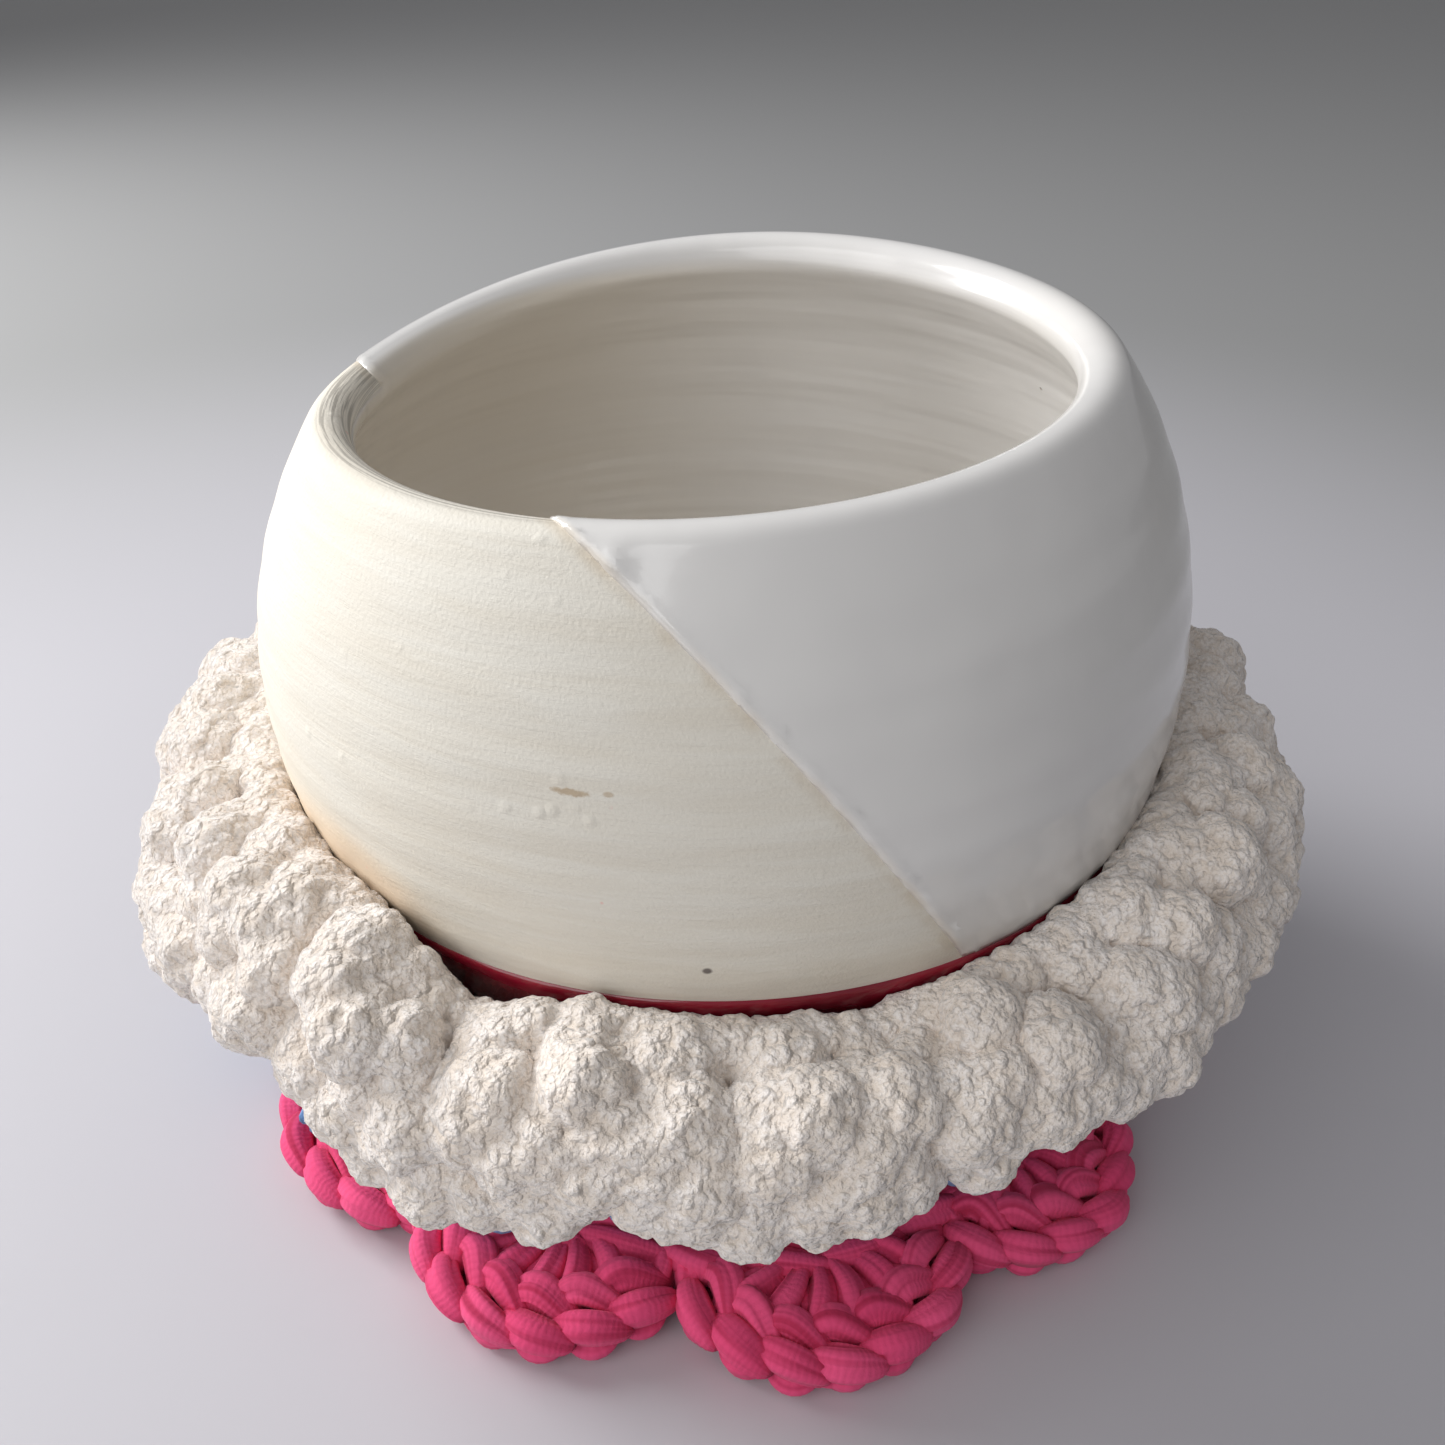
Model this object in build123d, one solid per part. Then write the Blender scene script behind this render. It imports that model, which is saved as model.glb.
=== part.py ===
from build123d import *

# A yarn bowl on its crocheted set: a thrown stoneware bowl, round-bellied with a turned-in lip,
# sits in a thick chenille nest whose cuff folds outwards. The nest stands on an oval cotton mat,
# and that on a round jersey-yarn mat. Both mats have scalloped edges.
# Millimetres, +Z up. The origin is the centre of the pink mat's underside, on the table.
# The diagonal edge of the bowl's white glaze faces -Y.
import os
from math import cos, degrees, pi, radians, sin

# ---- driving dimensions ----
GAP = 0.3                    # air between soft bodies, so that they lift apart cleanly

# Pink jersey mat
PINK_THICK = 11.0
PINK_ROUNDS = (15.0, 31.0, 47.0, 62.0)   # outer radius of each crocheted round
PINK_EDGE = 71.0             # radius between two shells
PINK_TIP = 86.0              # radius at the tip of a shell
PINK_SHELLS = 9
PINK_START = -78.5           # plan angle of the shell nearest the front
PINK_SHIFT = 2.0             # the loose mats are not quite centred: along X
PINK_STRETCH = 0.0           # half the chain that the rounds are worked about: none, so it is round

# Blue cotton mat, worked about a chain, so its rounds are ovals
BLUE_THICK = 7.0
BLUE_ROUNDS = (15.0, 31.0, 47.0)   # from the chain to the outside of each round
BLUE_EDGE = 57.0
BLUE_TIP = 64.0
BLUE_SHELLS = 16
BLUE_START = -91.0
BLUE_SHIFT = -13.0
BLUE_STRETCH = 22.0

# Chenille nest
NEST_FLOOR_R = 43.0
NEST_FOOT_R = 64.0           # outside of the wall where it meets the mat
NEST_WALL_R = 84.0           # outside of the wall under the cuff
NEST_FLARE_Z = 48.0          # height at which the wall stops widening
FOLD_LOW_Z = 62.0            # the rolled fold at the nest's rim
FOLD_TOP_Z = 77.0
FOLD_ROUND = 6.0
FOLD_OUT_R = 95.0
CUFF_LOW_Z = 46.0
CUFF_EDGE = 89.0
CUFF_TIP = 99.0
CUFF_SHELLS = 10
CUFF_START = -85.0

# Stoneware bowl
BELLY_R = 75.0               # outside radius: the belly is a sphere
BELLY_Z = 94.0               # height of the sphere's centre
WALL = 6.0
BOWL_FOOT_Z = 32.0           # underside of the foot ring
FOOT_TOP_Z = 37.0
FOOT_OUT_R = 41.5
FOOT_IN_R = 33.0
WELL_Z = 44.0                # flat inside floor
LIP_RISE = 42.0              # lip's ring above the sphere's centre, along the tilted axis
LIP_RING_R = 58.3
LIP_ROLL_R = 4.0
RIM_TILT_X = 3.4             # degrees: the rim is lowest at -X
RIM_TILT_Y = -2.0            # degrees: and a little higher at +Y
SKIN = 0.4                   # thickness of the glaze
RED_TOP_Z = 73.5             # sharp upper edge of the red glaze
DIP_AZIMUTH = 31.0           # the flat surface of the glaze bath that the bowl was dipped to
DIP_ELEVATION = 34.0
DIP_OFFSET = -14.8           # along the dip direction, from the sphere's centre

BIG = 400.0
REST_GAP = 0.3               # bowl above the nest's floor
BOWL_CLEAR = 0.5             # bowl's glaze to the nest's wall
SHELL_FULLNESS = 0.84        # a shell's radius, as a share of half the way along the edge between shells

BLUE_Z = PINK_THICK
NEST_Z = BLUE_Z + BLUE_THICK
NEST_FLOOR_TOP = BOWL_FOOT_Z - REST_GAP


def disc(radius, low, high, stretch=0.0):
    """An upright cylinder between two heights, or an oval one about a chain of twice stretch along X."""
    outline = SlotCenterToCenter(2 * stretch, 2 * radius) if stretch else Circle(radius)
    return Pos(0, 0, low) * extrude(outline, high - low)


def ring(inner, outer, low, high, stretch=0.0):
    """A flat ring of one crocheted round."""
    return disc(outer, low, high, stretch) - disc(inner, low, high, stretch)


def along_edge(distance, edge, stretch):
    """Of a distance along an oval's edge, from its front left: its place on the chain, and its way out."""
    straight = 2 * stretch
    half = straight + pi * edge
    distance %= 2 * half
    side = 1
    if distance >= half:
        side = -1
        distance -= half
    if distance < straight:
        return side * (distance - stretch), -90.0 * side
    return side * stretch, -90.0 * side + degrees((distance - straight) / edge)


def scalloped(inner, edge, tip, shells, start, low, high, stretch=0.0):
    """A ring whose outside swells into shells, from edge between them to tip, the first at an angle start."""
    step = (4 * stretch + 2 * pi * edge) / shells
    shell_r = step / 2 * SHELL_FULLNESS
    reach = tip - shell_r
    solid = ring(inner, edge, low, high, stretch)
    for i in range(shells):
        x, way = along_edge(edge * radians(start + 90) + i * step, edge, stretch)
        at = Pos(x + reach * cos(radians(way)), reach * sin(radians(way)), 0)
        solid += at * disc(shell_r, low, high) - disc(inner, low, high, stretch)
    return solid


def sphere(radius):
    """A sphere about the centre of the bowl's belly."""
    return Pos(0, 0, BELLY_Z) * Sphere(radius)


def rim_frame():
    """The bowl's tilted axis: its origin is the sphere's centre and its Z goes through the rim."""
    return Pos(0, 0, BELLY_Z) * Rot(0, -RIM_TILT_X, 0) * Rot(-RIM_TILT_Y, 0, 0)


def bowl_solid(skin=0.0):
    """The whole bowl, with every face above the foot grown by skin."""
    frame = rim_frame()
    upwards = (Align.CENTER, Align.CENTER, Align.MIN)
    above_rim = frame * Pos(0, 0, LIP_RISE) * Box(BIG, BIG, BIG, align=upwards)
    shell = sphere(BELLY_R + skin) - disc(BIG, -BIG, FOOT_TOP_Z)
    cavity = sphere(BELLY_R - WALL - skin) - disc(BIG, -BIG, WELL_Z + skin)
    lip = frame * Pos(0, 0, LIP_RISE) * Torus(LIP_RING_R, LIP_ROLL_R + skin)
    return shell - cavity - above_rim + lip


def foot_ring():
    """The turned foot that the bowl stands on."""
    return ring(FOOT_IN_R, FOOT_OUT_R, BOWL_FOOT_Z, FOOT_TOP_Z)


def red_glaze():
    """Band of red glaze on the lower belly, down to the foot."""
    band = sphere(BELLY_R + SKIN) - sphere(BELLY_R)
    return band & disc(BIG, FOOT_TOP_Z + SKIN, RED_TOP_Z)


def white_glaze():
    """White glaze: all of the inside, and the outside up to the flat line of the dip."""
    frame = rim_frame()
    coat = bowl_solid(SKIN) - bowl_solid()
    middle = sphere(BELLY_R - WALL / 2) + frame * Pos(0, 0, LIP_RISE) * extrude(Circle(LIP_RING_R), WALL)
    dip = Plane(
        origin=(0, 0, BELLY_Z),
        z_dir=(
            cos(radians(DIP_ELEVATION)) * cos(radians(DIP_AZIMUTH)),
            cos(radians(DIP_ELEVATION)) * sin(radians(DIP_AZIMUTH)),
            sin(radians(DIP_ELEVATION)),
        ),
    )
    downwards = (Align.CENTER, Align.CENTER, Align.MAX)
    dry_side = dip * Pos(0, 0, DIP_OFFSET) * Box(BIG, BIG, BIG, align=downwards)
    bare = (dry_side - middle) + (disc(BIG, 0, RED_TOP_Z) - middle)
    return coat - bare


def nest_wall():
    """Wall of the nest, from the mat up to the fold, hollowed to the bowl's round belly."""
    outside = make_face(
        Polyline(
            (NEST_FLOOR_R, NEST_Z),
            (NEST_FOOT_R, NEST_Z),
            (NEST_WALL_R, NEST_FLARE_Z),
            (NEST_WALL_R, FOLD_LOW_Z),
            (NEST_FLOOR_R, FOLD_LOW_Z),
            close=True,
        )
    )
    return revolve(Plane.XZ * outside, Axis.Z) - sphere(BELLY_R + SKIN + BOWL_CLEAR)


def nest_fold():
    """The rounded fold where the wall turns over into the cuff."""
    inner = BELLY_R - WALL
    block = ring(inner, FOLD_OUT_R, FOLD_LOW_Z, FOLD_TOP_Z)
    outer_top_edge = block.edges().group_by(Axis.Z)[-1].sort_by(SortBy.LENGTH)[-1]
    rounded = fillet(outer_top_edge, FOLD_ROUND)
    return rounded - sphere(BELLY_R + SKIN + BOWL_CLEAR)


def mat(name, radii, edge, tip, shells, start, shift, stretch, low, high):
    """A mat's nodes: each crocheted round from its centre outwards, then its edging of shells."""
    made = {f"{name}_centre_round": disc(radii[0], low, high, stretch)}
    for i in range(1, len(radii)):
        made[f"{name}_round_{i}"] = ring(radii[i - 1], radii[i], low, high, stretch)
    made[f"{name}_shell_edging"] = scalloped(radii[-1], edge, tip, shells, start, low, high, stretch)
    return {node: Pos(shift, 0, 0) * solid for node, solid in made.items()}


pink = mat(
    "pink_mat",
    PINK_ROUNDS,
    PINK_EDGE,
    PINK_TIP,
    PINK_SHELLS,
    PINK_START,
    PINK_SHIFT,
    PINK_STRETCH,
    0,
    BLUE_Z - GAP,
)
blue = mat(
    "blue_mat",
    BLUE_ROUNDS,
    BLUE_EDGE,
    BLUE_TIP,
    BLUE_SHELLS,
    BLUE_START,
    BLUE_SHIFT,
    BLUE_STRETCH,
    BLUE_Z,
    NEST_Z - GAP,
)
nodes = {**pink, **blue}
nodes["nest_floor"] = disc(NEST_FLOOR_R, NEST_Z, NEST_FLOOR_TOP)
nodes["nest_wall"] = nest_wall()
nodes["nest_fold"] = nest_fold()
nodes["nest_scalloped_cuff"] = scalloped(
    NEST_WALL_R, CUFF_EDGE, CUFF_TIP, CUFF_SHELLS, CUFF_START, CUFF_LOW_Z, FOLD_LOW_Z
)
nodes["bowl_stoneware_body"] = bowl_solid() + foot_ring()
nodes["bowl_white_glaze"] = white_glaze()
nodes["bowl_red_glaze"] = red_glaze()

os.makedirs("parts", exist_ok=True)
for name, solid in nodes.items():
    export_step(solid, f"parts/{name}.step")
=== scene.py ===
# Looks of the yarn bowl set: a stoneware bowl in a chenille nest, on a cotton mat and a jersey-yarn mat.
# Lengths are in millimetres until a mesh is made, where MM turns them into metres.
import math

import bmesh
import bpy
import numpy as np
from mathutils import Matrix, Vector, noise


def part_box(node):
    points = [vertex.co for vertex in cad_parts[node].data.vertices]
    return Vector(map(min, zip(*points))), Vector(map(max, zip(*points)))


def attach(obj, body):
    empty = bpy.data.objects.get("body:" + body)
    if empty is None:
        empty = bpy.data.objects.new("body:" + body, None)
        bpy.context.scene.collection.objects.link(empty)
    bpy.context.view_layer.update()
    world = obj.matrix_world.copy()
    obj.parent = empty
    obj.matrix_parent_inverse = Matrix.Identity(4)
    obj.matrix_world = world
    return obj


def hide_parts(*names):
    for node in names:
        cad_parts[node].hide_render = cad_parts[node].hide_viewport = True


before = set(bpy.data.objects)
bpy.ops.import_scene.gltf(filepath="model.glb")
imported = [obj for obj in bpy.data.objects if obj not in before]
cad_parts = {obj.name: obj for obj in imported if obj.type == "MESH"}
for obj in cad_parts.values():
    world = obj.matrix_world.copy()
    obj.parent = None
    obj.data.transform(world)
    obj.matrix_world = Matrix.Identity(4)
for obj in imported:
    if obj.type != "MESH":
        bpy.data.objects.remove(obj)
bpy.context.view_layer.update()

MM = 0.001
TAU = 2 * math.pi


def corners_mm(node):
    """Lowest and highest corner of a CAD node, in millimetres."""
    low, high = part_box(node)
    return np.array(low) / MM, np.array(high) / MM


# ---------------------------------------------------------------- sizes from the frame
BODY_LOW, BODY_HIGH = corners_mm("bowl_stoneware_body")
RED_LOW, RED_HIGH = corners_mm("bowl_red_glaze")
FOLD_LOW, FOLD_HIGH = corners_mm("nest_fold")
CUFF_LOW, CUFF_HIGH = corners_mm("nest_scalloped_cuff")
WALL_LOW, WALL_HIGH = corners_mm("nest_wall")
FLOOR_LOW, FLOOR_HIGH = corners_mm("nest_floor")

BELLY_R = (BODY_HIGH[0] - BODY_LOW[0]) / 2
BELLY_Z = BODY_LOW[2] + 62.0        # the belly is a sphere about this height
FOOT_Z = BODY_LOW[2]
WALL = 6.0
LIP_ROLL = 3.6
LIP_ANGLE = math.radians(35.4)      # where the shoulder turns into the lip, seen from the sphere's centre
WELL_Z = 44.0
RIM_TILT_X = math.radians(3.4)
RIM_TILT_Y = math.radians(-2.0)
DIP_AZIMUTH = math.radians(31)      # the way the glazed side of the dip faces
DIP_ELEVATION = math.radians(34)
DIP_OFFSET = -14.8
DIP_NORMAL = np.array(
    [
        math.cos(DIP_ELEVATION) * math.cos(DIP_AZIMUTH),
        math.cos(DIP_ELEVATION) * math.sin(DIP_AZIMUTH),
        math.sin(DIP_ELEVATION),
    ]
)
SKIN = 0.4
CENTRE = np.array([0.0, 0.0, BELLY_Z])


# ---------------------------------------------------------------- mesh helpers
def mesh_object(name, verts, faces, material, smooth=True):
    """A mesh object from points in millimetres."""
    mesh = bpy.data.meshes.new(name)
    mesh.from_pydata((np.asarray(verts) * MM).tolist(), [], faces)
    mesh.validate()
    mesh.update()
    return finish_object(name, mesh, material, smooth)


def finish_object(name, mesh, material, smooth=True):
    """Links a mesh as an object with its material and smooth shading."""
    obj = bpy.data.objects.new(name, mesh)
    bpy.context.scene.collection.objects.link(obj)
    mesh.materials.clear()
    mesh.materials.append(material)
    mesh.polygons.foreach_set("use_smooth", np.full(len(mesh.polygons), smooth))
    return obj


def applied(obj):
    """The object with its modifiers turned into mesh."""
    graph = bpy.context.evaluated_depsgraph_get()
    mesh = bpy.data.meshes.new_from_object(obj.evaluated_get(graph))
    obj.modifiers.clear()
    obj.data = mesh
    return obj


def grid_faces(rows, columns, closed=True):
    """Quads of a grid whose columns go round."""
    faces = []
    wrap = columns if closed else columns - 1
    for r in range(rows - 1):
        base, above = r * columns, (r + 1) * columns
        for c in range(wrap):
            d = (c + 1) % columns
            faces.append((base + c, base + d, above + d, above + c))
    return faces


def coordinates(mesh):
    """A mesh's vertices as an array, in millimetres."""
    flat = np.zeros(len(mesh.vertices) * 3)
    mesh.vertices.foreach_get("co", flat)
    return flat.reshape(-1, 3) / MM


def normals(mesh):
    """A mesh's vertex normals as an array."""
    flat = np.zeros(len(mesh.vertices) * 3)
    mesh.vertex_normals.foreach_get("vector", flat)
    return flat.reshape(-1, 3)


def set_coordinates(mesh, points):
    """Moves a mesh's vertices to points in millimetres."""
    mesh.vertices.foreach_set("co", (points * MM).ravel())
    mesh.update()


def float_attribute(mesh, name, values):
    """Stores one number on each vertex, for a material to read."""
    attribute = mesh.attributes.new(name, "FLOAT", "POINT")
    attribute.data.foreach_set("value", np.asarray(values, np.float32))


# ---------------------------------------------------------------- shader helpers
class Shader:
    """A material and its node tree, with short calls to add nodes and join them."""

    def __init__(self, name):
        self.material = bpy.data.materials.new(name)
        self.material.use_nodes = True
        self.tree = self.material.node_tree
        self.surface = self.tree.nodes["Principled BSDF"]
        self.place = self.add("ShaderNodeTexCoord").outputs["Object"]

    def add(self, kind, **settings):
        node = self.tree.nodes.new(kind)
        for key, value in settings.items():
            setattr(node, key, value)
        return node

    def feed(self, socket, value):
        """Puts a number, a colour or another node's output into a socket."""
        if isinstance(value, bpy.types.NodeSocket):
            self.tree.links.new(value, socket)
        elif isinstance(value, (tuple, list)) and len(value) == 3 and socket.type == "RGBA":
            socket.default_value = (*value, 1.0)
        else:
            socket.default_value = value

    def set(self, **inputs):
        """Sets the surface's inputs; an underscore stands for a space."""
        for key, value in inputs.items():
            self.feed(self.surface.inputs[key.replace("_", " ")], value)

    def math(self, operation, *values, clamp=False):
        node = self.add("ShaderNodeMath", operation=operation, use_clamp=clamp)
        for socket, value in zip(node.inputs, values):
            self.feed(socket, value)
        return node.outputs[0]

    def vector(self, operation, *values):
        node = self.add("ShaderNodeVectorMath", operation=operation)
        for socket, value in zip(node.inputs, values):
            self.feed(socket, value)
        return node.outputs["Value" if operation in ("LENGTH", "DOT_PRODUCT", "DISTANCE") else "Vector"]

    def stretched(self, scale):
        """The object's coordinates, scaled by three numbers."""
        return self.vector("MULTIPLY", self.place, scale)

    def noise(self, scale, detail=2.0, roughness=0.5, coords=None, distortion=0.0):
        node = self.add("ShaderNodeTexNoise")
        self.feed(node.inputs["Vector"], self.place if coords is None else coords)
        self.feed(node.inputs["Scale"], scale)
        self.feed(node.inputs["Detail"], detail)
        self.feed(node.inputs["Roughness"], roughness)
        self.feed(node.inputs["Distortion"], distortion)
        return node.outputs["Fac"]

    def cells(self, scale, smoothness=None):
        """Distance from the middles of packed cells, in cell sizes; smoothness rounds the seams between them."""
        node = self.add("ShaderNodeTexVoronoi", feature="F1" if smoothness is None else "SMOOTH_F1")
        self.feed(node.inputs["Vector"], self.place)
        self.feed(node.inputs["Scale"], scale)
        if smoothness is not None:
            self.feed(node.inputs["Smoothness"], smoothness)
        return node.outputs["Distance"]

    def window(self, value, low, high):
        """0 below low, 1 above high, and smooth between; low may be the larger."""
        node = self.add("ShaderNodeMapRange", interpolation_type="SMOOTHSTEP")
        self.feed(node.inputs["Value"], value)
        flipped = low > high
        node.inputs["From Min"].default_value = min(low, high)
        node.inputs["From Max"].default_value = max(low, high)
        node.inputs["To Min"].default_value = 1.0 if flipped else 0.0
        node.inputs["To Max"].default_value = 0.0 if flipped else 1.0
        return node.outputs["Result"]

    def mix(self, share, first, second, blend="MIX"):
        node = self.add("ShaderNodeMix", data_type="RGBA", blend_type=blend)
        self.feed(node.inputs["Factor"], share)
        self.feed(node.inputs[6], first)
        self.feed(node.inputs[7], second)
        return node.outputs[2]

    def pair(self, first, second):
        """A vector of two numbers."""
        node = self.add("ShaderNodeCombineXYZ")
        self.feed(node.inputs["X"], first)
        self.feed(node.inputs["Y"], second)
        return node.outputs["Vector"]

    def attribute(self, name):
        return self.add("ShaderNodeAttribute", attribute_name=name).outputs["Fac"]

    def bump(self, height, distance, strength=1.0, below=None):
        node = self.add("ShaderNodeBump")
        self.feed(node.inputs["Height"], height)
        self.feed(node.inputs["Distance"], distance * MM)
        self.feed(node.inputs["Strength"], strength)
        if below is not None:
            self.feed(node.inputs["Normal"], below)
        return node.outputs["Normal"]

    def spot(self, centre_mm, half_sizes_mm, ragged=0.0, seed_scale=900.0):
        """1 inside a soft-edged spot on the surface, 0 outside."""
        away = self.vector("SUBTRACT", self.place, tuple(c * MM for c in centre_mm))
        away = self.vector("DIVIDE", away, tuple(h * MM for h in half_sizes_mm))
        distance = self.vector("LENGTH", away)
        if ragged:
            distance = self.math("ADD", distance, self.math("MULTIPLY", self.noise(seed_scale, 3), ragged))
        return self.window(distance, 1.25 + ragged / 2, 0.6 + ragged / 2)


# ---------------------------------------------------------------- materials
def rim_coordinates(s):
    """Distance from the rim's tilted axis and height along it, from the sphere's centre."""
    moved = s.vector("SUBTRACT", s.place, (0, 0, BELLY_Z * MM))
    height = s.vector("DOT_PRODUCT", moved, tuple(TILT @ np.array([0, 0, 1.0])))
    across_x = s.vector("DOT_PRODUCT", moved, tuple(TILT @ np.array([1.0, 0, 0])))
    across_y = s.vector("DOT_PRODUCT", moved, tuple(TILT @ np.array([0, 1.0, 0])))
    radius = s.math("SQRT", s.math("ADD", s.math("MULTIPLY", across_x, across_x), s.math("MULTIPLY", across_y, across_y)))
    return radius, height


def dip_distance(s):
    """Distance in metres past the flat line of the glaze bath; the glazed side is positive."""
    moved = s.vector("SUBTRACT", s.place, (0, 0, BELLY_Z * MM))
    along = s.vector("DOT_PRODUCT", moved, tuple(DIP_NORMAL))
    return s.math("SUBTRACT", along, DIP_OFFSET * MM)


def clay_material():
    """Bare stoneware: cream, matt, with fine turning streaks, slip crumbs and a few marks."""
    s = Shader("bare_stoneware")
    streaks = s.noise(1.0, 5, 0.6, s.stretched((30, 30, 300)), 0.4)
    brush = s.noise(1.0, 4, 0.7, s.stretched((110, 110, 1300)), 0.6)
    blotch = s.noise(28, 3)
    colour = s.mix(s.window(streaks, 0.30, 0.72), (0.770, 0.720, 0.625), (0.815, 0.780, 0.700))
    colour = s.mix(s.math("MULTIPLY", s.window(blotch, 0.45, 0.75), 0.30), colour, (0.79, 0.71, 0.58))
    iron_specks = s.window(s.cells(95), 0.055, 0.035)
    iron_specks = s.math("MULTIPLY", iron_specks, s.window(s.noise(60, 0), 0.60, 0.66))
    colour = s.mix(s.math("MULTIPLY", iron_specks, 0.75), colour, (0.20, 0.12, 0.07))
    low_left = s.spot((-52, -40, 80), (22, 26, 9), 0.5, 60)
    colour = s.mix(s.math("MULTIPLY", low_left, 0.45), colour, (0.80, 0.56, 0.33))
    scratch = s.spot((-18.5, -71.5, 107.2), (2.4, 2.5, 0.55), 1.3, 1500)
    dot = s.spot((-13.8, -72.5, 107.5), (0.7, 1.0, 0.4), 0.4)
    pink = s.math("MULTIPLY", s.window(s.cells(170), 0.075, 0.045), s.window(s.noise(42, 0), 0.60, 0.64))
    colour = s.mix(s.math("MULTIPLY", pink, 0.5), colour, (0.80, 0.36, 0.30))
    low_dot = s.spot((-2.0, -73.7, 80.0), (0.7, 1.5, 0.6), 0.2)
    marks = s.math("MAXIMUM", s.math("MULTIPLY", scratch, 0.6), s.math("MULTIPLY", dot, 0.45))
    colour = s.mix(marks, colour, (0.38, 0.23, 0.08))
    colour = s.mix(s.math("MULTIPLY", low_dot, 0.8), colour, (0.05, 0.03, 0.03))
    radius, height = rim_coordinates(s)
    worn = s.math("MULTIPLY", s.window(radius, 0.0588, 0.0575), s.window(height, 0.034, 0.038))
    lines = s.noise(1.0, 2, 0.6, s.vector("MULTIPLY", s.pair(radius, height), (1900, 1100, 0)))
    worn = s.math("MULTIPLY", worn, s.window(lines, 0.46, 0.58))
    colour = s.mix(s.math("MULTIPLY", worn, 0.62), colour, (0.26, 0.235, 0.20))
    edge = s.window(s.math("ABSOLUTE", dip_distance(s)), 0.0020, 0.0002)
    edge = s.math("MULTIPLY", edge, s.window(s.noise(160, 2), 0.30, 0.70))
    colour = s.mix(s.math("MULTIPLY", edge, 0.45), colour, (0.58, 0.46, 0.31))
    crumbs = s.window(s.cells(240), 0.30, 0.05)
    crumbs = s.math("MULTIPLY", crumbs, s.window(s.noise(48, 2), 0.55, 0.72))
    relief = s.math("ADD", s.math("MULTIPLY", streaks, 0.55), s.math("MULTIPLY", brush, 0.38))
    relief = s.math("ADD", relief, s.math("MULTIPLY", crumbs, 0.75))
    relief = s.math("ADD", relief, s.math("MULTIPLY", s.noise(1900, 2), 0.25))
    s.set(Base_Color=colour, Normal=s.bump(relief, 0.32))
    s.set(Roughness=s.math("ADD", 0.62, s.math("MULTIPLY", blotch, 0.2)))
    return s.material


def white_glaze_material():
    """Glossy white glaze with faint clouding, pinholes and a thin tan edge, and a tan tint inside that is mostly
    painted shade on the left.
    """
    s = Shader("white_glaze")
    cloud = s.noise(22, 3, 0.55)
    colour = s.mix(s.window(cloud, 0.35, 0.7), (0.790, 0.775, 0.755), (0.755, 0.740, 0.725))
    warm = s.noise(9, 2)
    colour = s.mix(s.math("MULTIPLY", s.window(warm, 0.5, 0.75), 0.35), colour, (0.76, 0.70, 0.60))
    pinholes = s.math("MULTIPLY", s.window(s.cells(120), 0.05, 0.03), s.window(s.noise(50, 0), 0.60, 0.66))
    colour = s.mix(s.math("MULTIPLY", pinholes, 0.6), colour, (0.30, 0.22, 0.18))
    edge = s.window(dip_distance(s), 0.0014, 0.0001)
    outside = s.window(s.vector("LENGTH", s.vector("SUBTRACT", s.place, (0, 0, BELLY_Z * MM))), 0.0715, 0.0735)
    edge = s.math("MULTIPLY", edge, s.window(s.noise(160, 2), 0.25, 0.65))
    colour = s.mix(s.math("MULTIPLY", s.math("MULTIPLY", edge, outside), 0.45), colour, (0.64, 0.53, 0.38))
    # Painted shade: a light tan tint all over the inside, and a much stronger painted shade in tan on the left side,
    # which lies in shadow.
    inside = s.window(s.vector("LENGTH", s.vector("SUBTRACT", s.place, (0, 0, BELLY_Z * MM))), 0.0705, 0.0680)
    left = s.window(s.vector("DOT_PRODUCT", s.place, (1, 0.3, 0)), 0.045, -0.030)
    tan = s.math("MULTIPLY", inside, s.math("ADD", 0.15, s.math("MULTIPLY", left, 0.7)))
    colour = s.mix(tan, colour, (0.735, 0.665, 0.555))
    rings = s.math("MULTIPLY", s.noise(1.0, 2, 0.5, s.stretched((12, 12, 150))), s.math("ADD", 0.5, s.math("MULTIPLY", inside, 3.0)))
    waves = s.math("ADD", s.noise(60, 2), rings)
    relief = s.math("SUBTRACT", waves, s.math("MULTIPLY", pinholes, 0.6))
    s.set(Base_Color=colour, Normal=s.bump(relief, 0.35))
    s.set(Roughness=s.math("ADD", 0.13, s.math("MULTIPLY", cloud, 0.12)))
    s.set(Specular_IOR_Level=0.5, Coat_Weight=0.35, Coat_Roughness=0.06)
    return s.material


def red_glaze_material():
    """Deep cranberry glaze, darker where it pools."""
    s = Shader("red_glaze")
    pool = s.noise(45, 3, 0.6)
    colour = s.mix(s.window(pool, 0.35, 0.7), (0.33, 0.006, 0.028), (0.20, 0.003, 0.016))
    s.set(Base_Color=colour, Normal=s.bump(s.noise(130, 2), 0.25))
    s.set(Roughness=s.math("ADD", 0.10, s.math("MULTIPLY", pool, 0.12)))
    s.set(Coat_Weight=0.5, Coat_Roughness=0.05)
    return s.material


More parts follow.
